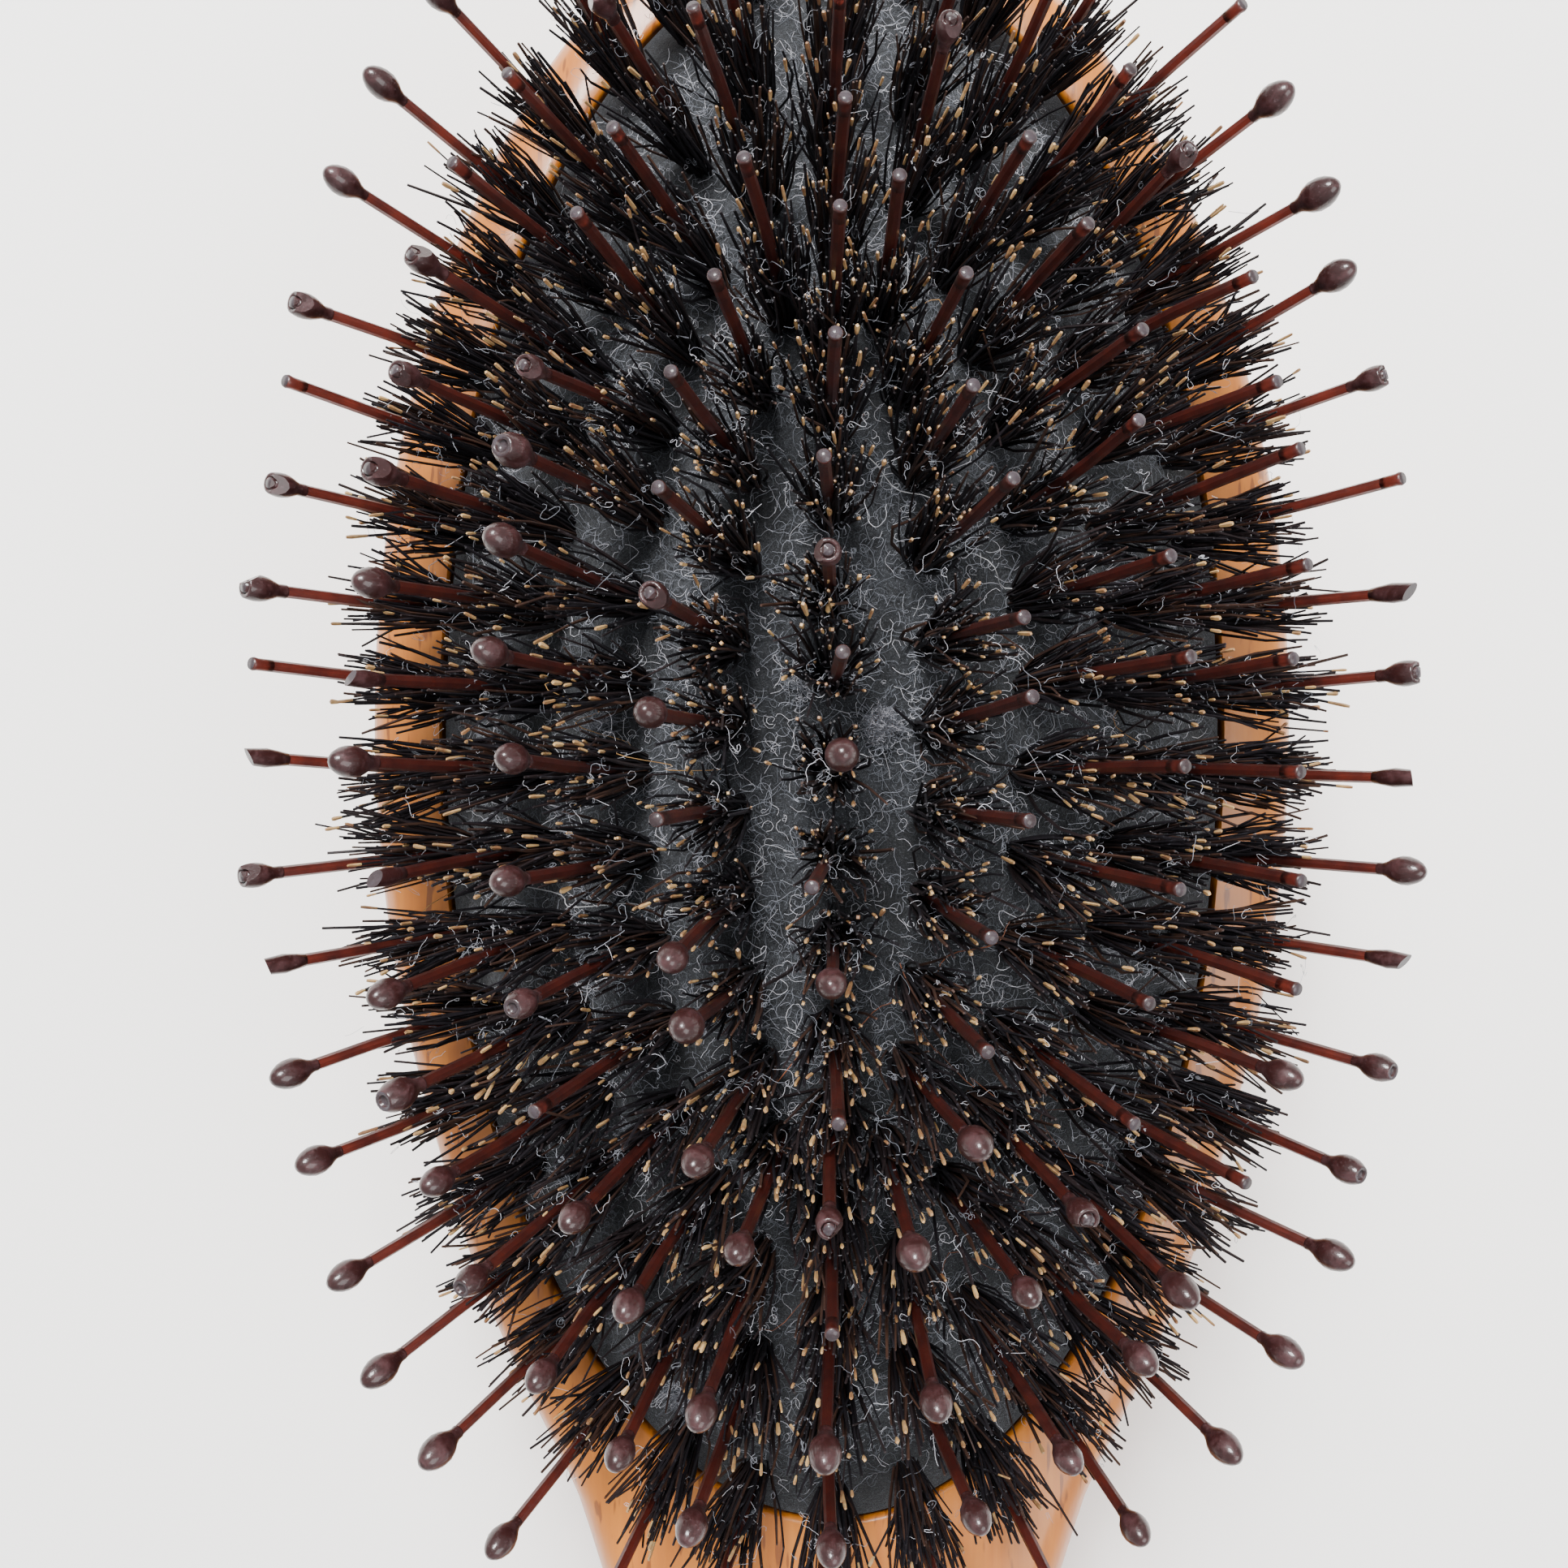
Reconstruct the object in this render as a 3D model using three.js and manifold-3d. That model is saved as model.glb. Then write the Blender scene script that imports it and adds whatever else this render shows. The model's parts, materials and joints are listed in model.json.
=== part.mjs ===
// Oval cushion brush, lying on its back with its bristles up: +Z up, the handle along -Y, millimetres.
// A beech body carries an air-filled rubber cushion. Rows of bristle tufts stand in the cushion, and
// each tuft has one ball-tipped nylon pin in its middle. The rows sink with the cushion.
import * as THREE from "three";
import { ParametricGeometry } from "three/addons/geometries/ParametricGeometry.js";
import { mergeVertices } from "three/addons/utils/BufferGeometryUtils.js";
import Module from "manifold-3d";

// Head
const headLength = 108;
const headWidth = 60;
const bodyThickness = 15;
const widestHeight = 8.5; // height of the head's widest line above the table
const rimSide = 5.4; // wooden rim beside the cushion
const rimTip = 4.9; // wooden rim at the far end
const rimNeck = 3.1; // wooden rim at the handle's end
const faceSquareness = 6; // superellipse power of the face side's edge
const backSquareness = 2.5; // and of the rounded back
const tipSquareness = 10; // and of the side view at the far end
const faceSpare = 0.5; // stock above the face and below the back, planed off flat
const pocketDepth = 6.5;
const ledgeWidth = 2; // step in the pocket that carries the cushion's skirt

// Neck and handle
const handleLength = 110;
const gripHeight = 7.6; // height of the handle's middle line above the table
const gripSquareness = 2.3;
const gripEndLength = 13; // stretch over which the handle's end is rounded
const neckStart = -10; // past the head's end, the section starts to change from head to grip here
const neckEnd = 22; // and has the grip's shape here
const neckBlend = 6; // width of the soft join between the oval and the neck
const neckProfile = [
  // distance past the head's end and half width
  [-45, 19],
  [-20, 21.4],
  [-1, 15.9],
  [12, 12.4],
  [30, 10.4],
  [62, 12.4],
  [92, 13.6],
  [handleLength, 13.2],
];

// Cushion
const crownHeight = 11.5; // height of the cushion's crown above the face
const rubberWall = 1.4;
const skirtDepth = 3; // how far the skirt reaches into the wood
const skirtWall = 1.2;
const ventRadius = 0.8;
const fitGap = 0.3; // gap between pieces that touch

// Tufts and pins
const edgeMargin = 2.3; // from the cushion's edge to the outer ring, across the brush
const endMargin = 2.5; // and along it
const outerRowClearance = 4.8; // between the fans of the outer two rings, along the brush
const rowClearance = 2.2; // and between the other rings' fans
const centreLean = 0.95; // fans' widths from the centre row's last root to the ring, which lean apart
const tuftPitch = 4.9; // between the tufts of a row
const tuftsPerBank = 8; // about how many tufts one strip of a row carries
const bristleLength = 11;
const tuftRootRadius = 0.95;
const tuftTopRadius = 1.8;
const pinLength = 17;
const pinRadius = 0.35;
const ballRadius = 0.9;
const ballLength = 2.6;
const footLength = 0.8; // how far the tufts reach past the rubber's inside
const pinBandHeight = 0.6; // band behind the rubber that holds the feet of a bank of pins
const pinBandHalfWidth = 0.6;

// From the middle of the cushion outwards
const rows = ["centre_row", "inner_ring", "middle_ring", "wide_ring", "outer_ring"];

// Fineness of the faceted solids
const bodyStations = 32;
const bodySides = 16;
const ovalSides = 16; // on each half of an oval
const domeSteps = 3;
const pinSides = 4;
const weld = 1e-3;

const headHalfLength = headLength / 2;
const headHalfWidth = headWidth / 2;
const cushionHalfWidth = headHalfWidth - rimSide;
const cushionHalfLength = (headLength - rimTip - rimNeck) / 2;
const cushionMiddle = (rimNeck - rimTip) / 2;
const rowGap = (cushionHalfWidth - edgeMargin) / (rows.length - 1);
const fanWidth = 2 * tuftTopRadius;
const handleEnd = -(headHalfLength + handleLength);
const footDepth = rubberWall + footLength;
const pinBandTop = footDepth + fitGap;
const pinBandBottom = pinBandTop + pinBandHeight;

const materials = {
  wood: new THREE.MeshStandardMaterial({ color: 0xd99a5b, roughness: 0.35, metalness: 0 }),
  rubber: new THREE.MeshStandardMaterial({ color: 0x2b2a2e, roughness: 0.9, metalness: 0 }),
  bristle: new THREE.MeshStandardMaterial({ color: 0x1c171c, roughness: 0.6, metalness: 0 }),
  nylon: new THREE.MeshStandardMaterial({ color: 0x5a2422, roughness: 0.3, metalness: 0 }),
};

const wasm = await Module();
wasm.setup();

// Closed geometry to a solid that can be joined and cut.
function solidOf(geometry) {
  const bare = new THREE.BufferGeometry();
  bare.setAttribute("position", geometry.getAttribute("position"));
  bare.setIndex(geometry.index);
  const merged = mergeVertices(bare, weld);
  const corners = [];
  for (let i = 0; i < merged.index.count; i += 3) {
    const [a, b, c] = [0, 1, 2].map((k) => merged.index.getX(i + k));
    if (a !== b && b !== c && c !== a) corners.push(a, b, c);
  }
  return new wasm.Manifold(
    new wasm.Mesh({
      numProp: 3,
      vertProperties: merged.attributes.position.array,
      triVerts: new Uint32Array(corners),
    }),
  );
}

function meshOf(name, solid, material) {
  const { vertProperties, triVerts } = solid.getMesh();
  const geometry = new THREE.BufferGeometry();
  geometry.setAttribute("position", new THREE.BufferAttribute(vertProperties, 3));
  geometry.setIndex(new THREE.BufferAttribute(triVerts, 1));
  geometry.computeVertexNormals();
  const mesh = new THREE.Mesh(geometry, material);
  mesh.name = name;
  return mesh;
}

const joined = (solids) => solids.reduce((whole, piece) => whole.add(piece));

// Part of a superellipse: 1 at its middle, 0 at its edge.
const roundOff = (share, power) => Math.pow(Math.max(0, 1 - Math.pow(Math.abs(share), power)), 1 / power);

const signedPower = (value, power) => Math.sign(value) * Math.pow(Math.abs(value), power);

// ---- Wooden body ----

const neckCurve = new THREE.SplineCurve(
  neckProfile.map(([past, half]) => new THREE.Vector2(-(headHalfLength + past), half)),
);

// Half width of the neck and handle at a place along the brush, found on the curve by halving.
function neckHalfWidth(y) {
  let low = 0;
  let high = 1;
  while (high - low > weld / handleLength) {
    const middle = (low + high) / 2;
    if (neckCurve.getPoint(middle).x > y) low = middle;
    else high = middle;
  }
  return neckCurve.getPoint(low).y;
}

// The larger of two widths, with a soft join where they cross.
function softMaximum(a, b, blend) {
  const near = Math.max(blend - Math.abs(a - b), 0);
  return Math.max(a, b) + (near * near) / (4 * blend);
}

const gripEnd = (y) => roundOff(Math.max(0, (handleEnd + gripEndLength - y) / gripEndLength), 2);

function bodyHalfWidth(y) {
  const oval = headHalfWidth * roundOff(Math.min(1, y / headHalfLength), 2);
  if (y > 0) return oval;
  return softMaximum(oval, neckHalfWidth(y), neckBlend) * gripEnd(y);
}

// One point of the body's skin: around the section, and along the brush from its far end.
function bodyPoint(around, along, target) {
  const middle = (headHalfLength + handleEnd) / 2;
  const y = middle + (headHalfLength - middle) * Math.cos(Math.PI * along);
  const grip = THREE.MathUtils.smoothstep(-y - headHalfLength, neckStart, neckEnd);
  const mixed = (head, handle) => THREE.MathUtils.lerp(head, handle, grip);
  const end = y > 0 ? roundOff(y / headHalfLength, tipSquareness) : gripEnd(y);
  const waist = mixed(widestHeight, gripHeight);
  const angle = 2 * Math.PI * around;
  const upper = Math.sin(angle) > 0;
  const power = 2 / mixed(upper ? faceSquareness : backSquareness, gripSquareness);
  const reach = (upper ? bodyThickness - waist : waist) + faceSpare * mixed(1, 0);
  target.set(
    bodyHalfWidth(y) * signedPower(Math.cos(angle), power),
    y,
    waist + end * reach * signedPower(Math.sin(angle), power),
  );
}

// Upright block with an oval outline around the cushion's middle.
function ovalBlock(halfWidth, halfLength, bottom, top) {
  const outline = new THREE.Shape();
  outline.absellipse(0, cushionMiddle, halfWidth, halfLength, 0, 2 * Math.PI);
  const block = new THREE.ExtrudeGeometry(outline, {
    depth: top - bottom,
    bevelEnabled: false,
    curveSegments: ovalSides,
  });
  return solidOf(block.translate(0, 0, bottom));
}

function woodBody() {
  const stock = solidOf(new ParametricGeometry(bodyPoint, bodySides, bodyStations));
  const planed = new THREE.BoxGeometry(2 * headWidth, 2 * (headLength + handleLength), bodyThickness);
  const above = bodyThickness + pocketDepth;
  const seatWidth = cushionHalfWidth + fitGap;
  const seatLength = cushionHalfLength + fitGap;
  const seat = ovalBlock(seatWidth, seatLength, bodyThickness - skirtDepth - fitGap, above);
  const floor = bodyThickness - pocketDepth;
  const pocket = ovalBlock(seatWidth - ledgeWidth, seatLength - ledgeWidth, floor, above);
  return stock
    .intersect(solidOf(planed.translate(0, 0, bodyThickness / 2)))
    .subtract(seat)
    .subtract(pocket);
}

// ---- Rubber cushion ----

// Height of the cushion's skin above the face, at a place measured from the cushion's middle.
const domeRise = (x, y) =>
  crownHeight * (1 - (x / cushionHalfWidth) ** 2 - (y / cushionHalfLength) ** 2);

const domeNormal = (x, y) =>
  new THREE.Vector3(
    (2 * crownHeight * x) / cushionHalfWidth ** 2,
    (2 * crownHeight * y) / cushionHalfLength ** 2,
    1,
  ).normalize();

// The wall's outline, from the skirt's foot over the crown and down inside: the share of the oval,
// the inset from it and the height above the face.
function cushionProfile() {
  const innerEdge = 1 - skirtWall / cushionHalfWidth;
  const steps = Array.from({ length: domeSteps + 1 }, (_, i) => 1 - i / domeSteps);
  const rise = (share) => crownHeight * (1 - share ** 2);
  const outer = steps.map((share) => ({ share, inset: 0, rise: rise(share) }));
  const inner = steps
    .slice(1)
    .toReversed()
    .map((step) => ({ share: step * innerEdge, inset: 0, rise: rise(step * innerEdge) - rubberWall }));
  const lip = { share: 1, inset: skirtWall, rise: rise(innerEdge) - rubberWall };
  const foot = { share: 1, inset: 0, rise: -skirtDepth };
  return [foot, ...outer, ...inner, lip, { ...foot, inset: skirtWall }, foot];
}

function cushionWall() {
  const profile = cushionProfile();
  const skin = (around, along, target) => {
    const { share, inset, rise } = profile[Math.round(along * (profile.length - 1))];
    const angle = 2 * Math.PI * around;
    target.set(
      (share * cushionHalfWidth - inset) * Math.cos(angle),
      (share * cushionHalfLength - inset) * Math.sin(angle) + cushionMiddle,
      bodyThickness + rise,
    );
  };
  return solidOf(new ParametricGeometry(skin, 2 * ovalSides, profile.length - 1));
}

function ventHole() {
  const bore = new THREE.CylinderGeometry(ventRadius, ventRadius, 4 * rubberWall, 2 * pinSides);
  const x = rowGap / 2;
  return solidOf(
    bore.rotateX(Math.PI / 2).translate(x, cushionMiddle, bodyThickness + domeRise(x, 0)),
  );
}

// ---- Rows of tufts ----

function ringSize(index) {
  const inwards = rows.length - 1 - index;
  const outerStep = fanWidth + outerRowClearance;
  const endSteps = inwards ? outerStep + (inwards - 1) * (fanWidth + rowClearance) : 0;
  return {
    halfWidth: cushionHalfWidth - edgeMargin - inwards * rowGap,
    halfLength: cushionHalfLength - endMargin - endSteps,
  };
}

// The line that a row's roots follow, seen from above and measured from the cushion's middle. The
// centre row ends where the ring round it comes as near as two fans allow.
function rowPath(index) {
  if (index === 0) {
    const ring = ringSize(1);
    const end = ring.halfLength * roundOff((centreLean * fanWidth) / ring.halfWidth, 2);
    return new THREE.LineCurve(new THREE.Vector2(0, -end), new THREE.Vector2(0, end));
  }
  const { halfWidth, halfLength } = ringSize(index);
  return new THREE.EllipseCurve(0, 0, halfWidth, halfLength, -Math.PI / 2, 1.5 * Math.PI);
}

// Where a tuft stands on the cushion: X along its row, Y across it and Z out of the rubber.
function tuftPlace(path, share) {
  const { x, y } = path.getPointAt(share);
  const along = path.getTangentAt(share);
  const out = domeNormal(x, y);
  const across = out.clone().cross(new THREE.Vector3(along.x, along.y, 0)).normalize();
  const forward = across.clone().cross(out);
  const root = new THREE.Vector3(x, y + cushionMiddle, bodyThickness + domeRise(x, y));
  return new THREE.Matrix4().makeBasis(forward, across, out).setPosition(root);
}

// A ring has an even number of tufts, so that it is the same on both sides of the brush.
function tuftPlaces(index) {
  const path = rowPath(index);
  const pitches = path.getLength() / tuftPitch;
  const spaces = index === 0 ? Math.round(pitches) : 2 * Math.round(pitches / 2);
  const tufts = index === 0 ? spaces + 1 : spaces;
  return Array.from({ length: tufts }, (_, i) => tuftPlace(path, i / spaces));
}

function banksOf(places) {
  const banks = Math.max(1, Math.round(places.length / tuftsPerBank));
  const first = (bank) => Math.round((bank * places.length) / banks);
  return Array.from({ length: banks }, (_, bank) => places.slice(first(bank), first(bank + 1)));
}

// A place's directions: along its row, across it and out of the rubber.
function axesOf(place) {
  const axes = [0, 1, 2].map(() => new THREE.Vector3());
  place.extractBasis(...axes);
  return axes;
}

// The corner between two tufts, where the lines along the row through each of them meet. It is
// widened across the row, so that what runs round it keeps its width.
function corner(a, b) {
  const [alongA, , outA] = axesOf(a);
  const [alongB, , outB] = axesOf(b);
  const cosine = Math.cos(alongA.angleTo(alongB) / 2);
  const [rootA, rootB] = [a, b].map((place) => new THREE.Vector3().setFromMatrixPosition(place));
  const reach = rootA.distanceTo(rootB) / 2 / cosine;
  rootA.addScaledVector(alongA, reach);
  rootB.addScaledVector(alongB, -reach);
  const out = outA.add(outB).normalize();
  const across = out.clone().cross(alongA.add(alongB)).normalize();
  const forward = across.clone().cross(out);
  across.divideScalar(cosine);
  return new THREE.Matrix4().makeBasis(forward, across, out).setPosition(rootA.lerp(rootB, 0.5));
}

// Bar that runs straight past each tuft of a bank and bends between them. Its half width, which is
// also how far it passes the end tufts, is a function of the height along the tufts.
function bankBar(places, halfWidthAt, bottom, top) {
  const corners = places.slice(1).map((place, i) => corner(places[i], place));
  const stations = [places[0], ...corners, places.at(-1)];
  const spans = stations.length - 1;
  const bar = new THREE.BoxGeometry(spans, 2, 2, spans);
  const position = bar.getAttribute("position");
  const point = new THREE.Vector3();
  for (let i = 0; i < position.count; i += 1) {
    point.fromBufferAttribute(position, i);
    const station = Math.round(point.x + spans / 2);
    const height = point.z < 0 ? bottom : top;
    const halfWidth = halfWidthAt(height);
    const reach = station === 0 ? -halfWidth : station === spans ? halfWidth : 0;
    point.set(reach, point.y * halfWidth, height).applyMatrix4(stations[station]);
    position.setXYZ(i, point.x, point.y, point.z);
  }
  return solidOf(bar);
}

// Half width of a bank of tufts at a height along them: they fan out towards their cut ends.
function tuftRadius(height) {
  const share = (height + footDepth) / (bristleLength + footDepth);
  return THREE.MathUtils.lerp(tuftRootRadius, tuftTopRadius, share);
}

// Square-sided bore along a tuft, whose flats are clear of the pin.
function pinBore(place) {
  const bottom = -footDepth - fitGap;
  const top = bristleLength + fitGap;
  const cornerRadius = (pinRadius + fitGap) / Math.cos(Math.PI / pinSides);
  const bore = new THREE.CylinderGeometry(cornerRadius, cornerRadius, top - bottom, pinSides);
  bore.rotateY(Math.PI / pinSides).rotateX(Math.PI / 2);
  return solidOf(bore.translate(0, 0, (top + bottom) / 2).applyMatrix4(place));
}

function bristleBank(places) {
  const bristles = bankBar(places, tuftRadius, -footDepth, bristleLength);
  return bristles.subtract(joined(places.map(pinBore)));
}

// The slot in the rubber that a bank of tufts stands in.
function bankSlot(places) {
  const clear = (height) => tuftRadius(height) + fitGap;
  return bankBar(places, clear, -2 * rubberWall, rubberWall);
}

function ballPin(place) {
  const root = (pinBandTop + pinBandBottom) / 2;
  const neck = pinLength - ballLength;
  const bulge = pinLength - ballLength / 2;
  const profile = [
    [0, -root],
    [pinRadius, -root],
    [pinRadius, neck],
    [ballRadius, bulge],
    [0, pinLength],
  ].map(([radius, height]) => new THREE.Vector2(radius, height));
  const pin = new THREE.LatheGeometry(profile, pinSides);
  return solidOf(pin.rotateY(Math.PI / pinSides).rotateX(Math.PI / 2).applyMatrix4(place));
}

function pinBank(places) {
  const band = bankBar(places, () => pinBandHalfWidth, -pinBandBottom, -pinBandTop);
  return joined([band, ...places.map(ballPin)]);
}

// ---- The brush ----

const brush = new THREE.Group();
const banks = rows.map((_, index) => banksOf(tuftPlaces(index)));
brush.add(meshOf("wood_body", woodBody(), materials.wood));

const cushion = cushionWall().subtract(joined([ventHole(), ...banks.flat().map(bankSlot)]));
brush.add(meshOf("rubber_cushion", cushion, materials.rubber));

rows.forEach((name, index) => {
  banks[index].forEach((bank, i) => {
    brush.add(meshOf(`${name}_bristles_${i + 1}`, bristleBank(bank), materials.bristle));
    brush.add(meshOf(`${name}_pins_${i + 1}`, pinBank(bank), materials.nylon));
  });
});

// The origin is under the middle of the whole brush, on the surface that it lies on.
const bounds = new THREE.Box3().setFromObject(brush, true);
const middle = bounds.getCenter(new THREE.Vector3());
brush.position.set(-middle.x, -middle.y, -bounds.min.z);

export default brush;
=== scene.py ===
"""Oval cushion brush, lying on its back with its bristles up, in metres and in the frame of the CAD."""

import json
import logging
import math
import random
from dataclasses import dataclass, field
from enum import Enum
from itertools import accumulate, pairwise

import bmesh
import bpy
from mathutils import Matrix, Vector, noise


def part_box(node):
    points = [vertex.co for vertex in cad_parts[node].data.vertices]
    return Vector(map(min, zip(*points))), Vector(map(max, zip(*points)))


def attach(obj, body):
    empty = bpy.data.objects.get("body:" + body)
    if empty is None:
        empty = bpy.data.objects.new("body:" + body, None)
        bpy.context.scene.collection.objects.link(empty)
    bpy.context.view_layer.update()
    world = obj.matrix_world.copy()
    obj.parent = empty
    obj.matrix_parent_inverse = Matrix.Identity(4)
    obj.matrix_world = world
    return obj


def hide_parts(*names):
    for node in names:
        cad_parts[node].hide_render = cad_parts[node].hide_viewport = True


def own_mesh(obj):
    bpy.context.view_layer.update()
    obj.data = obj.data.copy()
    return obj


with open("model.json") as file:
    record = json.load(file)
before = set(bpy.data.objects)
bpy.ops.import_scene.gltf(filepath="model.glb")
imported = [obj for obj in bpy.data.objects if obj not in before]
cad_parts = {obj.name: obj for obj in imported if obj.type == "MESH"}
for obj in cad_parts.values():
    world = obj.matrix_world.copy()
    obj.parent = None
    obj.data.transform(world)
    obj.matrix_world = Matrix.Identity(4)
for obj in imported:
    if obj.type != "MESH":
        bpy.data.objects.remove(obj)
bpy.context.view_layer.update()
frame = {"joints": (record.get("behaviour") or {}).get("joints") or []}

log = logging.getLogger("cushion_brush")

MM = 0.001
FULL_TURN = 2 * math.pi
SEED = 7

# A face lies flat on top if its normal's Z is above this.
FLAT = 0.8

# The vent hole's place, from the cushion's middle.
VENT = (2.8 * MM, 0)

Colour = tuple[float, float, float]


# ---- Shader tools ----


class Value:
    """A number that varies over a surface. Sums with it add Math nodes to its material."""

    def __init__(self, surface: "Surface", socket: bpy.types.NodeSocket) -> None:
        """Wraps one output socket.

        Args:
            surface: The material that the socket is in.
            socket: The output socket.
        """
        self.surface = surface
        self.socket = socket

    def _math(self, operation: str, *values: "Value | float", clamp: bool = False) -> "Value":
        """Adds one Math node.

        Args:
            operation: The node's operation.
            values: What goes into its sockets, in order.
            clamp: Whether the result is held between 0 and 1.

        Returns:
            The node's result.
        """
        settings = {"operation": operation, "use_clamp": clamp}
        node = self.surface.node("ShaderNodeMath", settings, dict(enumerate(values)))
        return Value(self.surface, node.outputs[0])

    def __add__(self, other: "Value | float") -> "Value":
        """Sum."""
        return self._math("ADD", self, other)

    def __sub__(self, other: "Value | float") -> "Value":
        """Difference."""
        return self._math("SUBTRACT", self, other)

    def __rsub__(self, other: float) -> "Value":
        """Difference from a number."""
        return self._math("SUBTRACT", other, self)

    def __mul__(self, other: "Value | float") -> "Value":
        """Product."""
        return self._math("MULTIPLY", self, other)

    __radd__ = __add__
    __rmul__ = __mul__

    def between(self, low: float, high: float) -> "Value":
        """Stretches the span from low to high over 0 to 1.

        Args:
            low: What becomes 0.
            high: What becomes 1.

        Returns:
            The stretched value, held between 0 and 1.
        """
        return self._math("MULTIPLY", self - low, 1 / (high - low), clamp=True)


class Surface:
    """A material with one Principled shader, and the methods that add nodes in front of it."""

    def __init__(self, name: str, **constants: float | Colour) -> None:
        """Starts the material.

        Args:
            name: The material's name.
            constants: The shader's sockets that are the same all over, with _ for a space.
        """
        self.material = bpy.data.materials.new(name)
        self.material.use_nodes = True
        self.tree = self.material.node_tree
        self.shader = self.tree.nodes["Principled BSDF"]
        for key, value in constants.items():
            socket = self.shader.inputs[key.replace("_", " ")]
            self._feed(socket, value)
        self.place = self.node("ShaderNodeTexCoord").outputs["Object"]

    def node(
        self, kind: str, settings: dict | None = None, sockets: dict | None = None
    ) -> bpy.types.Node:
        """Adds a node.

        Args:
            kind: The node's type.
            settings: Its properties, which are set first.
            sockets: What goes into its input sockets: numbers, colours, sockets or Values.

        Returns:
            The new node.
        """
        made = self.tree.nodes.new(kind)
        for key, value in (settings or {}).items():
            setattr(made, key, value)
        for key, value in (sockets or {}).items():
            self._feed(made.inputs[key], value)
        return made

    def _feed(self, socket: bpy.types.NodeSocket, value: object) -> None:
        """Links a socket or sets its value.

        Args:
            socket: The input socket.
            value: A number, a colour, a socket or a Value.
        """
        if isinstance(value, Value):
            value = value.socket
        if isinstance(value, bpy.types.NodeSocket):
            self.tree.links.new(value, socket)
        elif isinstance(value, tuple) and len(value) < len(socket.default_value):
            socket.default_value = (*value, 1)
        else:
            socket.default_value = value

    def stretched(self, scale: Colour, turn: Colour = (0, 0, 0)) -> bpy.types.NodeSocket:
        """The place on the object, scaled and turned.

        Args:
            scale: Along each axis.
            turn: About each axis, in radians.

        Returns:
            The mapped coordinates.
        """
        sockets = {"Vector": self.place, "Scale": scale, "Rotation": turn}
        return self.node("ShaderNodeMapping", None, sockets).outputs[0]

    def clouds(
        self,
        scale: float,
        detail: float = 3,
        roughness: float = 0.5,
        distortion: float = 0,
        at: bpy.types.NodeSocket | None = None,
    ) -> Value:
        """Soft noise.

        Args:
            scale: Its patches in a metre.
            detail: How many finer layers it has.
            roughness: How strong they are.
            distortion: How much it is twisted.
            at: Where it is read, instead of the place on the object.

        Returns:
            The noise, about 0.5 in the middle.
        """
        sockets = {
            "Vector": at or self.place,
            "Scale": scale,
            "Detail": detail,
            "Roughness": roughness,
            "Distortion": distortion,
        }
        return Value(self, self.node("ShaderNodeTexNoise", None, sockets).outputs[0])

    def mix(self, share: Value, low: object, high: object) -> bpy.types.NodeSocket:
        """Mixes two colours.

        Args:
            share: 0 for the first colour and 1 for the second.
            low: The first colour.
            high: The second colour.

        Returns:
            The mixed colour.
        """
        made = self.node("ShaderNodeMix", {"data_type": "RGBA"}, {0: share, 6: low, 7: high})
        return made.outputs[2]

    def finish(
        self,
        colour: object,
        roughness: Value | float,
        height: Value | None = None,
        depth: float = 0,
    ) -> bpy.types.Material:
        """Feeds the shader.

        Args:
            colour: The base colour.
            roughness: The roughness.
            height: The relief, from 0 to 1.
            depth: How deep the relief is, in metres.

        Returns:
            The finished material.
        """
        self._feed(self.shader.inputs["Base Color"], colour)
        self._feed(self.shader.inputs["Roughness"], roughness)
        if height is not None:
            bump = self.node("ShaderNodeBump", None, {"Distance": depth, "Height": height})
            self._feed(self.shader.inputs["Normal"], bump.outputs[0])
        return self.material


# ---- Finishes ----


@dataclass(frozen=True)
class LacqueredBeech:
    """Beech under clear lacquer: long grain and short dark rays."""

    pale: Colour = (0.52, 0.174, 0.016)
    deep: Colour = (0.36, 0.1, 0.008)
    ray: Colour = (0.15, 0.04, 0.008)
    grain_stretch: float = 0.045
    ray_stretch: float = 0.16

    def make(self) -> bpy.types.Material:
        """Builds the material.

        Returns:
            The finished material.
        """
        wood = Surface("beech", Coat_Weight=0.35, Coat_Roughness=0.16, Specular_IOR_Level=0.35)
        along = wood.stretched((1, self.grain_stretch, 0.6), (0, 0, 0.03))
        rings = wood.clouds(420, 4, 0.55, 0.4, along)
        lines = wood.clouds(2300, 2, 0.6, 0, along)
        patches = wood.clouds(38, 2)
        rays = wood.clouds(2100, 1, 0.5, 0, wood.stretched((1, self.ray_stretch, 0.5)))
        tone = rings.between(0.36, 0.66) * 0.55 + lines.between(0.3, 0.75) * 0.25 + patches * 0.3
        body = wood.mix(tone, self.pale, self.deep)
        marks = rays.between(0.63, 0.7) * 0.75
        colour = wood.mix(marks, body, self.ray)
        rough = 0.3 + lines * 0.14 + patches * 0.1
        return wood.finish(colour, rough, lines * 0.5 + rays * 0.5, 0.03 * MM)


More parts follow.
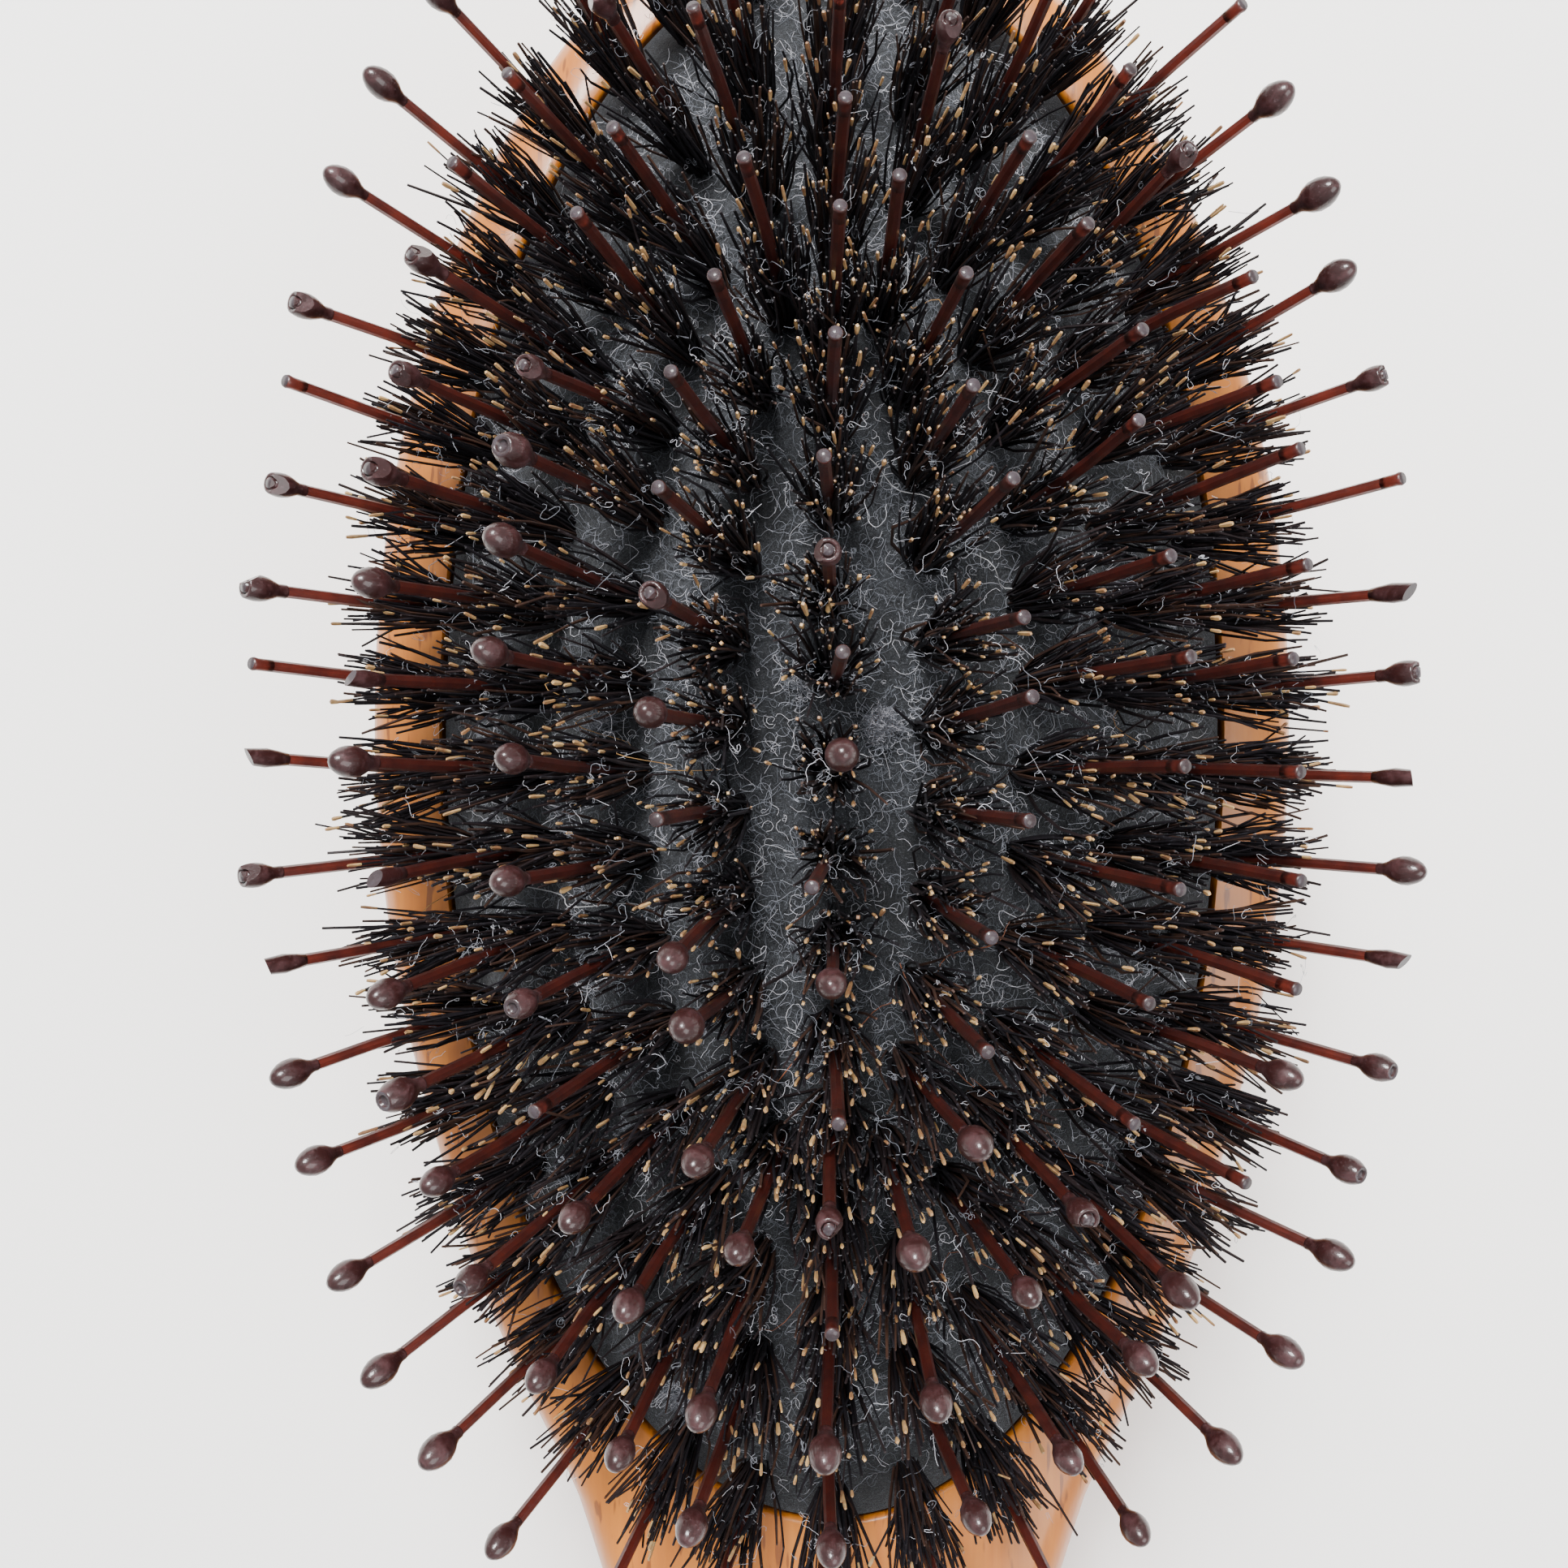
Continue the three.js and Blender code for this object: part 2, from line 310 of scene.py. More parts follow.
@dataclass(frozen=True)
class FeltedRubber:
    """Black rubber under a matted grey film of dust and lint."""

    rubber: Colour = (0.0045, 0.005, 0.006)
    film: Colour = (0.024, 0.026, 0.03)
    dust: Colour = (0.092, 0.098, 0.112)

    def make(self) -> bpy.types.Material:
        """Builds the material.

        Returns:
            The finished material.
        """
        felt = Surface("felted_rubber", Sheen_Weight=0.12, Sheen_Roughness=0.6, Specular_IOR_Level=0.12)
        drifts = felt.clouds(170, 4, 0.6, 0.3)
        mat = felt.clouds(1500, 4, 0.7, 1.6)
        threads = felt.clouds(4200, 3, 0.75, 3.2)
        cover = drifts.between(0.32, 0.6)
        film = felt.mix(mat.between(0.36, 0.62), self.rubber, self.film)
        base = felt.mix(cover, self.rubber, film)
        specks = threads.between(0.53, 0.66) * (1 - 0.7 * (1 - cover))
        colour = felt.mix(specks, base, self.dust)
        return felt.finish(colour, 0.75 + mat * 0.25, mat * 0.6 + threads * 0.4, 0.18 * MM)


@dataclass(frozen=True)
class Bristle:
    """Boar bristle, near black or brown, with a slight waxy gloss and dust on it."""

    name: str
    dark: Colour
    light: Colour
    dust: Colour = (0.1, 0.1, 0.122)

    def make(self) -> bpy.types.Material:
        """Builds the material.

        Returns:
            The finished material.
        """
        hair = Surface(self.name, Specular_IOR_Level=0.3)
        length = hair.clouds(380, 3, 0.6)
        specks = hair.clouds(1700, 3, 0.7, 1.0)
        body = hair.mix(length.between(0.35, 0.7), self.dark, self.light)
        colour = hair.mix(specks.between(0.6, 0.78) * 0.4, body, self.dust)
        return hair.finish(colour, 0.42 + specks * 0.3, specks, 0.02 * MM)


@dataclass(frozen=True)
class CutEnd:
    """The pale end of a bristle, from cream to amber."""

    cream: Colour = (0.44, 0.28, 0.12)
    amber: Colour = (0.15, 0.068, 0.03)

    def make(self) -> bpy.types.Material:
        """Builds the material.

        Returns:
            The finished material.
        """
        end = Surface("cut_end", Subsurface_Weight=0.15, Subsurface_Scale=0.2 * MM)
        place = end.clouds(520, 3, 0.7)
        fine = end.clouds(5200, 2, 0.6)
        colour = end.mix(place.between(0.36, 0.64), self.cream, self.amber)
        return end.finish(colour, 0.4 + fine * 0.25, fine, 0.02 * MM)


@dataclass(frozen=True)
class Nylon:
    """Translucent red-brown nylon of a pin's stem."""

    deep: Colour = (0.05, 0.0085, 0.0065)
    warm: Colour = (0.115, 0.017, 0.0098)
    scuff: Colour = (0.13, 0.05, 0.04)

    def make(self) -> bpy.types.Material:
        """Builds the material.

        Returns:
            The finished material.
        """
        stem = Surface(
            "nylon",
            Subsurface_Weight=0.2,
            Subsurface_Radius=(1.0, 0.25, 0.12),
            Subsurface_Scale=0.4 * MM,
            Transmission_Weight=0.74,
            Specular_IOR_Level=0.35,
            IOR=1.53,
        )
        streaks = stem.clouds(700, 3, 0.6)
        scuffs = stem.clouds(4200, 3, 0.7, 0.6)
        body = stem.mix(streaks.between(0.3, 0.7), self.warm, self.deep)
        colour = stem.mix(scuffs.between(0.62, 0.78) * 0.35, body, self.scuff)
        return stem.finish(colour, 0.24 + scuffs * 0.28, scuffs, 0.015 * MM)


@dataclass(frozen=True)
class BallCoat:
    """Glossy mauve-brown coat of the ball tips, dusty in places, or its dull broken inside."""

    name: str
    body: Colour
    haze: Colour
    roughness: float
    haze_start: float
    speck: Colour = (0.12, 0.078, 0.084)

    def make(self) -> bpy.types.Material:
        """Builds the material.

        Returns:
            The finished material.
        """
        coat = Surface(
            self.name,
            Subsurface_Weight=0.1,
            Subsurface_Radius=(1.0, 0.4, 0.3),
            Subsurface_Scale=0.2 * MM,
            Specular_IOR_Level=0.25,
            Coat_Weight=0.35,
            Coat_Roughness=0.06,
        )
        patches = coat.clouds(900, 4, 0.65, 0.5)
        grain = coat.clouds(5600, 3, 0.7)
        haze = patches.between(self.haze_start, self.haze_start + 0.3)
        worn = coat.mix(haze, self.body, self.haze)
        colour = coat.mix(grain.between(0.6, 0.8) * 0.5, worn, self.speck)
        return coat.finish(colour, self.roughness + haze * 0.25 + grain * 0.1, grain, 0.02 * MM)


@dataclass(frozen=True)
class LintFibre:
    """A textile fibre or a shed hair."""

    name: str
    colour: Colour
    other: Colour

    def make(self) -> bpy.types.Material:
        """Builds the material.

        Returns:
            The finished material.
        """
        thread = Surface(self.name, Sheen_Weight=0.2, Specular_IOR_Level=0.25)
        change = thread.clouds(450, 3, 0.7)
        fine = thread.clouds(6000, 2)
        colour = thread.mix(change.between(0.35, 0.65), self.colour, self.other)
        return thread.finish(colour, 0.6 + fine * 0.3, fine, 0.01 * MM)


# ---- Shape tools ----


@dataclass(frozen=True)
class Strand:
    """A hair, fibre or stem: its line, its half thickness at each point and its finish's number."""

    points: list[Vector]
    radii: list[float]
    finish: int = 0


def shown(name: str, mesh: bpy.types.Mesh) -> bpy.types.Object:
    """Puts a mesh into the scene.

    Args:
        name: The piece's name.
        mesh: Its mesh, in the frame of the CAD.

    Returns:
        The new object.
    """
    piece = bpy.data.objects.new(name, mesh)
    bpy.context.scene.collection.objects.link(piece)
    return piece


def smoothed(mesh: bpy.types.Mesh, sharp: float = math.radians(40)) -> bpy.types.Mesh:
    """Shades a mesh smooth, but for its sharp edges.

    Args:
        mesh: The mesh.
        sharp: The angle from which an edge stays sharp.

    Returns:
        The same mesh.
    """
    for face in mesh.polygons:
        face.use_smooth = True
    mesh.set_sharp_from_angle(angle=sharp)
    return mesh


def evaluated(piece: bpy.types.Object) -> bpy.types.Mesh:
    """Takes an object's final mesh and removes the object.

    Args:
        piece: A curve, or a mesh with modifiers.

    Returns:
        Its mesh, with the modifiers applied.
    """
    bpy.context.view_layer.update()
    graph = bpy.context.evaluated_depsgraph_get()
    mesh = bpy.data.meshes.new_from_object(piece.evaluated_get(graph))
    bpy.data.objects.remove(piece)
    return mesh


def strand_mesh(
    name: str, strands: list[Strand], finishes: list[bpy.types.Material], sides: int = 4
) -> bpy.types.Mesh:
    """Makes thin closed tubes along strands.

    Args:
        name: The mesh's name.
        strands: The strands.
        finishes: The materials that the strands' numbers choose from.
        sides: The sides of a tube.

    Returns:
        One mesh of all the tubes.
    """
    curve = bpy.data.curves.new(name, "CURVE")
    curve.dimensions = "3D"
    curve.bevel_depth = MM
    curve.bevel_resolution = (sides - 4) // 2
    curve.use_fill_caps = True
    for finish in finishes:
        curve.materials.append(finish)
    for strand in strands:
        spline = curve.splines.new("POLY")
        spline.points.add(len(strand.points) - 1)
        spline.points.foreach_set("co", [n for point in strand.points for n in (*point, 1)])
        spline.points.foreach_set("radius", [radius / MM for radius in strand.radii])
        spline.material_index = strand.finish
    mesh = evaluated(shown(name, curve))
    mesh.name = name
    return smoothed(mesh)


def ringed(
    rings: list[tuple[float, float, float]], middle: Vector, segments: int
) -> bmesh.types.BMesh:
    """Extrudes an oval loop through rings and caps both ends.

    Args:
        rings: Each ring's half width, half length and height.
        middle: The point that the rings stand over.
        segments: The vertices in a ring.

    Returns:
        The new closed shape.
    """
    shape = bmesh.new()
    loop = bmesh.ops.create_circle(shape, segments=segments, radius=1)["verts"]
    edges = list(shape.edges)
    unit = [vert.co.copy() for vert in loop]
    for number, (wide, long, height) in enumerate(rings):
        if number:
            grown = bmesh.ops.extrude_edge_only(shape, edges=edges)["geom"]
            loop = [item for item in grown if isinstance(item, bmesh.types.BMVert)]
            edges = [item for item in grown if isinstance(item, bmesh.types.BMEdge)]
            edges = [edge for edge in edges if all(vert in loop for vert in edge.verts)]
        for vert, place in zip(loop, unit):
            vert.co = middle + Vector((wide * place.x, long * place.y, height))
    bmesh.ops.holes_fill(shape, edges=shape.edges, sides=0)
    bmesh.ops.recalc_face_normals(shape, faces=shape.faces)
    return shape


def turned(profile: list[tuple[float, float]], steps: int) -> bmesh.types.BMesh:
    """Spins a profile round Z.

    Args:
        profile: Points of radius and height, from one end to the other.
        steps: The steps of the full turn.

    Returns:
        The new shape.
    """
    shape = bmesh.new()
    verts = [shape.verts.new((radius, 0, height)) for radius, height in profile]
    edges = [shape.edges.new(pair) for pair in pairwise(verts)]
    centre = Vector((0, 0, 0))
    axis = Vector((0, 0, 1))
    bmesh.ops.spin(
        shape, geom=verts + edges, cent=centre, axis=axis, angle=FULL_TURN, steps=steps, use_merge=True
    )
    bmesh.ops.remove_doubles(shape, verts=shape.verts, dist=1e-4 * MM)
    bmesh.ops.recalc_face_normals(shape, faces=shape.faces)
    return shape


def to_mesh(shape: bmesh.types.BMesh, name: str) -> bpy.types.Mesh:
    """Ends a bmesh and gives its mesh.

    Args:
        shape: The bmesh, which is freed.
        name: The mesh's name.

    Returns:
        The new mesh.
    """
    mesh = bpy.data.meshes.new(name)
    shape.to_mesh(mesh)
    shape.free()
    return mesh


def cut_away(name: str, stock: bmesh.types.BMesh, tool: bmesh.types.BMesh) -> bpy.types.Mesh:
    """Takes one closed shape out of another.

    Args:
        name: The mesh's name.
        stock: The shape that is cut, which is freed.
        tool: The shape of what goes, which is freed.

    Returns:
        The mesh that is left.
    """
    body = shown(f"{name}_stock", to_mesh(stock, name))
    cutter = shown(f"{name}_tool", to_mesh(tool, f"{name}_tool"))
    cut = body.modifiers.new("cut", "BOOLEAN")
    cut.operation = "DIFFERENCE"
    cut.solver = "EXACT"
    cut.object = cutter
    mesh = evaluated(body)
    mesh.materials.clear()
    bpy.data.objects.remove(cutter)
    return mesh


def leaning(chance: random.Random, angle: float) -> Matrix:
    """A small turn about X and Y.

    Args:
        chance: The source of the turn.
        angle: Its usual size, in radians.

    Returns:
        The turn.
    """
    turn = Matrix.Rotation(chance.gauss(0, angle), 4, "X")
    return turn @ Matrix.Rotation(chance.gauss(0, angle), 4, "Y")


def eased(share: float) -> float:
    """A soft step from 0 to 1."""
    share = min(max(share, 0), 1)
    return share * share * (3 - 2 * share)


# ---- Wooden body ----


@dataclass
class WoodBody:
    """Head, neck and handle in one piece of beech, with the pocket for the cushion."""

    head_length: float = 108 * MM
    head_width: float = 60 * MM
    widest_height: float = 8.5 * MM
    grip_height: float = 7.6 * MM
    spare: float = 0.5 * MM
    face_power: float = 6
    back_power: float = 2.5
    tip_power: float = 10
    grip_power: float = 2.3
    grip_end: float = 13 * MM
    section_change: tuple[float, float] = (-10 * MM, 22 * MM)
    neck_blend: float = 6 * MM
    neck: tuple[tuple[float, float], ...] = (
        (-45, 19), (-20, 21.4), (-1, 15.9), (12, 12.4), (30, 10.4), (62, 12.4), (92, 13.6), (110, 13.2),
    )
    pocket_depth: float = 6.5 * MM
    seat_depth: float = 3.3 * MM
    ledge: float = 2 * MM
    fit_gap: float = 0.3 * MM
    edge_round: float = 0.45 * MM
    edge_line: tuple[tuple[float, float], ...] = ((0, 1), (0.12, 0.5), (0.5, 0.12), (1, -0.02))
    sections: int = 150
    sides: int = 72
    cut_segments: int = 144
    sharp: float = math.radians(32)

    def __post_init__(self) -> None:
        """Takes the body's place from the frame."""
        low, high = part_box("wood_body")
        self.thickness = high.z
        self.middle = high.y - self.head_length / 2
        self.handle_end = low.y

    def neck_half_width(self, past: float) -> float:
        """Half width of the neck and handle.

        Args:
            past: The distance past the head's end.

        Returns:
            The half width, on a smooth line through the neck's points.
        """
        points = [(x * MM, y * MM) for x, y in self.neck]
        past = min(max(past, points[0][0]), points[-1][0])
        at = max(i for i, (x, _) in enumerate(points[:-1]) if x <= past)

        def slope(i: int) -> float:
            """Slope of the line at one of its points."""
            before, after = points[max(i - 1, 0)], points[min(i + 1, len(points) - 1)]
            return (after[1] - before[1]) / (after[0] - before[0])

        (x0, y0), (x1, y1) = points[at], points[at + 1]
        span = x1 - x0
        t = (past - x0) / span
        start = (1 + 2 * t) * (1 - t) ** 2 * y0 + t * (1 - t) ** 2 * span * slope(at)
        return start + t * t * (3 - 2 * t) * y1 + t * t * (t - 1) * span * slope(at + 1)

    def half_width(self, y: float) -> float:
        """Half width of the body.

        Args:
            y: The place along the brush, from the head's middle.

        Returns:
            The half width there.
        """
        half = self.head_length / 2
        oval = self.head_width / 2 * math.sqrt(max(0, 1 - min(1, abs(y / half)) ** 2))
        if y > 0:
            return oval
        neck = self.neck_half_width(-y - half)
        near = max(self.neck_blend - abs(oval - neck), 0)
        return (max(oval, neck) + near * near / (4 * self.neck_blend)) * self.end_share(y)

    def end_share(self, y: float) -> float:
        """How much of the full section is left near either end.

        Args:
            y: The place along the brush, from the head's middle.

        Returns:
            1, falling to 0 at the very end.
        """
        if y > 0:
            power = self.tip_power
            return max(0, 1 - (y / (self.head_length / 2)) ** power) ** (1 / power)
        end = self.handle_end - self.middle
        into = max(0, (end + self.grip_end - y) / self.grip_end)
        return math.sqrt(max(0, 1 - into * into))

    def skin_point(self, unit: Vector) -> Vector:
        """Moves a point of a unit sphere onto the body.

        Args:
            unit: The point, with Z along the brush and Y up.

        Returns:
            Its place on the body.
        """
        tip = self.head_length / 2
        end = self.handle_end - self.middle
        y = (tip + end) / 2 + (tip - end) / 2 * unit.z
        angle = math.atan2(unit.y, unit.x)
        start, stop = self.section_change
        grip = eased((-y - tip - start) / (stop - start))
        upper = angle > 0
        waist = self.widest_height + (self.grip_height - self.widest_height) * grip
        power = self.face_power if upper else self.back_power
        power += (self.grip_power - power) * grip
        reach = (self.thickness - waist if upper else waist) + self.spare * (1 - grip)
        across, up = math.cos(angle), math.sin(angle)
        far = (abs(across) ** power + abs(up) ** power) ** (-1 / power)
        height = waist + self.end_share(y) * reach * far * up
        x = self.half_width(y) * far * across
        return Vector((x, y + self.middle, min(max(height, 0), self.thickness)))

    def build(self, cushion: "Dome") -> bpy.types.Object:
        """Makes the body and cuts the cushion's pocket into it.

        Args:
            cushion: The cushion that the pocket holds.

        Returns:
            The finished piece.
        """
        shape = bmesh.new()
        bmesh.ops.create_uvsphere(shape, u_segments=self.sides, v_segments=self.sections, radius=1)
        for vert in shape.verts:
            vert.co = self.skin_point(vert.co)
        bmesh.ops.remove_doubles(shape, verts=shape.verts, dist=1e-3 * MM)
        bmesh.ops.recalc_face_normals(shape, faces=shape.faces)
        mesh = cut_away("beech_body", shape, self.pocket(cushion))
        piece = shown("beech_body", smoothed(mesh, self.sharp))
        mesh.materials.append(LacqueredBeech().make())
        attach(piece, "body")
        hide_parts("wood_body")
        return piece

    def pocket(self, cushion: "Dome") -> bmesh.types.BMesh:
        """The shape of the cut: a pocket, the ledge in it and a rounded upper edge.

        Args:
            cushion: The cushion that the pocket holds.

        Returns:
            The closed shape that is taken away.
        """
        wide, long = cushion.half_width + self.fit_gap, cushion.half_length + self.fit_gap
        top = self.thickness
        rounding = self.edge_round
        steps = [
            (-self.ledge, top - self.pocket_depth),
            (-self.ledge, top - self.seat_depth),
            (0, top - self.seat_depth),
            *((rounding * out, top - rounding * down) for out, down in self.edge_line),
            (rounding, top + self.pocket_depth),
        ]
        rings = [(wide + out, long + out, height) for out, height in steps]
        return ringed(rings, cushion.middle, self.cut_segments)


# ---- Rubber cushion ----


@dataclass(frozen=True)
class Dome:
    """The cushion's skin, which is an oval dome over the head's face."""

    half_width: float
    half_length: float
    middle: Vector
    foot: float
    face: float
    crown: float

    @classmethod
    def from_frame(cls) -> "Dome":
        """Takes the dome's size and place from the frame.

        Returns:
            The dome.
        """
        low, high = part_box("rubber_cushion")
        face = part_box("wood_body")[1].z
        middle = Vector((0, (low.y + high.y) / 2, 0))
        return cls((high.x - low.x) / 2, (high.y - low.y) / 2, middle, low.z, face, high.z - face)

    def point(self, x: float, y: float, above: float = 0) -> Vector:
        """A point on the skin or above it.

        Args:
            x: Across the brush, from the cushion's middle.
            y: Along the brush, from the cushion's middle.
            above: The distance off the skin.

        Returns:
            The point.
        """
        share = 1 - (x / self.half_width) ** 2 - (y / self.half_length) ** 2
        skin = self.middle + Vector((x, y, self.face + self.crown * share))
        return skin + self.normal(x, y) * above

    def normal(self, x: float, y: float) -> Vector:
        """The direction out of the skin.

        Args:
            x: Across the brush, from the cushion's middle.
            y: Along the brush, from the cushion's middle.

        Returns:
            A unit vector.
        """
        slope_x = 2 * self.crown * x / self.half_width**2
        slope_y = 2 * self.crown * y / self.half_length**2
        return Vector((slope_x, slope_y, 1)).normalized()


def sinks_with_cushion(piece: bpy.types.Object, dome: Dome) -> None:
    """Attaches a piece on the skin to the body and gives it a mesh of its own.

    Args:
        piece: The finished piece.
        dome: The cushion's skin.
    """
    travel = next(j for j in frame["joints"] if j["name"] == "cushion_press")["range_m"][1]
    roots = RowSet(dome).rows[0].roots()
    height = sum(dome.point(x, y).z - dome.face for x, y in roots) / len(roots)
    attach(piece, "body")
    1 - travel / height
    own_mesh(piece)


@dataclass
class RubberCushion:
    """The air-filled rubber cushion, with a raised lip round each tuft and a vent hole."""

    dome: Dome
    wall: float = 1.2 * MM
    socket_height: float = 0.22 * MM
    socket_reach: float = 1.25 * MM
    felt_lumps: float = 0.1 * MM
    felt_scale: float = 620
    vent_radius: float = 0.8 * MM
    vent_segments: int = 32
    smallest_ring: float = 0.012
    rings: int = 84
    segments: int = 300

    def build(self, tufts: list[Matrix]) -> bpy.types.Object:
        """Makes the cushion.

        Args:
            tufts: Where the tufts stand.

        Returns:
            The finished piece.
        """
        dome = self.dome
        wide, long = dome.half_width, dome.half_length
        shares = [1 - (1 - self.smallest_ring) * i / self.rings for i in range(self.rings + 1)]
        skirt = [(wide, long, dome.foot), (wide, long, (dome.foot + dome.face) / 2)]
        skin = [(wide * s, long * s, dome.face + dome.crown * (1 - s * s)) for s in shares]
        shape = ringed(skirt + skin, dome.middle, self.segments)
        bottom = [face for face in shape.faces if len(face.verts) > 4 and face.normal.z < 0]
        bmesh.ops.delete(shape, geom=bottom, context="FACES_ONLY")
        self._raise_sockets(shape, tufts)
        bmesh.ops.solidify(shape, geom=shape.faces[:], thickness=self.wall)
        bmesh.ops.recalc_face_normals(shape, faces=shape.faces)
        mesh = cut_away("felted_cushion", shape, self._vent())
        piece = shown("felted_cushion", smoothed(mesh))
        piece.data.materials.append(FeltedRubber().make())
        sinks_with_cushion(piece, dome)
        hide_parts("rubber_cushion")
        return piece

    def _vent(self) -> bmesh.types.BMesh:
        """The shape of the vent hole, which goes right through the crown beside the centre row.

        Returns:
            The closed shape that is taken away.
        """
        shape = bmesh.new()
        bmesh.ops.create_cone(
            shape,
            cap_ends=True,
            segments=self.vent_segments,
            radius1=self.vent_radius,
            radius2=self.vent_radius,
            depth=4 * self.wall,
            matrix=Matrix.Translation(self.dome.point(*VENT)),
        )
        return shape

    def _raise_sockets(self, shape: bmesh.types.BMesh, tufts: list[Matrix]) -> None:
        """Lifts the skin round each tuft and gives it the felt's soft lumps.

        Args:
            shape: The skin, before it has a wall.
            tufts: Where the tufts stand.
        """
        roots = [tuft.translation for tuft in tufts]
        for vert in shape.verts:
            if vert.co.z <= self.dome.face:
                continue
            offset = vert.co - self.dome.middle
            nearest = min((vert.co - root).length_squared for root in roots)
            lift = self.socket_height * math.exp(-nearest / self.socket_reach**2)
            lumps = self.felt_lumps * noise.noise(vert.co * self.felt_scale)
            vert.co += self.dome.normal(offset.x, offset.y) * (lift + lumps)


# ---- Rows ----


@dataclass
class Row:
    """One row of tufts: a straight line in the middle, or an oval ring."""

    name: str
    dome: Dome
    half_width: float
    half_length: float
    pale_share: float
    pitch: float = 4.9 * MM
    tufts_per_bank: int = 8
    samples: int = 1440

    def roots(self) -> list[tuple[float, float]]:
        """The tufts' roots, evenly spaced from the handle's side counter-clockwise.

        Returns:
            Each root's place from the cushion's middle.
        """
        if not self.half_width:
            spaces = round(2 * self.half_length / self.pitch)
            step = 2 * self.half_length / spaces
            return [(0, i * step - self.half_length) for i in range(spaces + 1)]
        turn = [FULL_TURN * i / self.samples - math.pi / 2 for i in range(self.samples + 1)]
        line = [(self.half_width * math.cos(a), self.half_length * math.sin(a)) for a in turn]
        gone = [0, *accumulate(math.dist(a, b) for a, b in pairwise(line))]
        count = 2 * round(gone[-1] / self.pitch / 2)
        wanted = [gone[-1] * i / count for i in range(count)]
        return [line[min(range(len(gone)), key=lambda k: abs(gone[k] - far))] for far in wanted]

    def places(self) -> list[Matrix]:
        """Where the tufts stand.

        Returns:
            Each tuft's place, with Z out of the skin and X along the row.
        """
        made = []
        for x, y in self.roots():
            out = self.dome.normal(x, y)
            if self.half_width:
                along = Vector((-y / self.half_length**2, x / self.half_width**2, 0))
            else:
                along = Vector((0, 1, 0))
            across = out.cross(along).normalized()
            axes = Matrix((across.cross(out), across, out)).transposed()
            made.append(Matrix.Translation(self.dome.point(x, y)) @ axes.to_4x4())
        return made

    def banks(self) -> list[list[tuple[int, Matrix]]]:
        """The row's tufts in banks.

        Returns:
            The tufts of each bank, each with its number in the row and its place.
        """
        places = list(enumerate(self.places()))
        banks = max(1, round(len(places) / self.tufts_per_bank))
        first = [round(bank * len(places) / banks) for bank in range(banks + 1)]
        return [places[start:stop] for start, stop in pairwise(first)]


@dataclass
class RowSet:
    """All five rows, from the middle of the cushion outwards."""

    dome: Dome
    edge_margin: float = 2.3 * MM
    end_margin: float = 2.5 * MM
    outer_gap: float = 8.4 * MM
    gap: float = 5.8 * MM
    centre_room: float = 3.42 * MM
    names: tuple[str, ...] = ("centre_row", "inner_ring", "middle_ring", "wide_ring", "outer_ring")
    pale_shares: tuple[float, ...] = (0.3, 0.24, 0.2, 0.15, 0.09)

    def __post_init__(self) -> None:
        """Makes the rows."""
        wide = self.dome.half_width - self.edge_margin
        step = wide / (len(self.names) - 1)
        long = self.dome.half_length - self.end_margin
        self.rows = []
        for number, name in enumerate(self.names[1:], 1):
            inwards = len(self.names) - 1 - number
            ends = self.outer_gap + (inwards - 1) * self.gap if inwards else 0
            size = (wide - inwards * step, long - ends)
            self.rows.append(Row(name, self.dome, *size, self.pale_shares[number]))
        ring = self.rows[0]
        centre = ring.half_length * math.sqrt(1 - (self.centre_room / ring.half_width) ** 2)
        self.rows.insert(0, Row(self.names[0], self.dome, 0, centre, self.pale_shares[0]))


# ---- Bristles ----


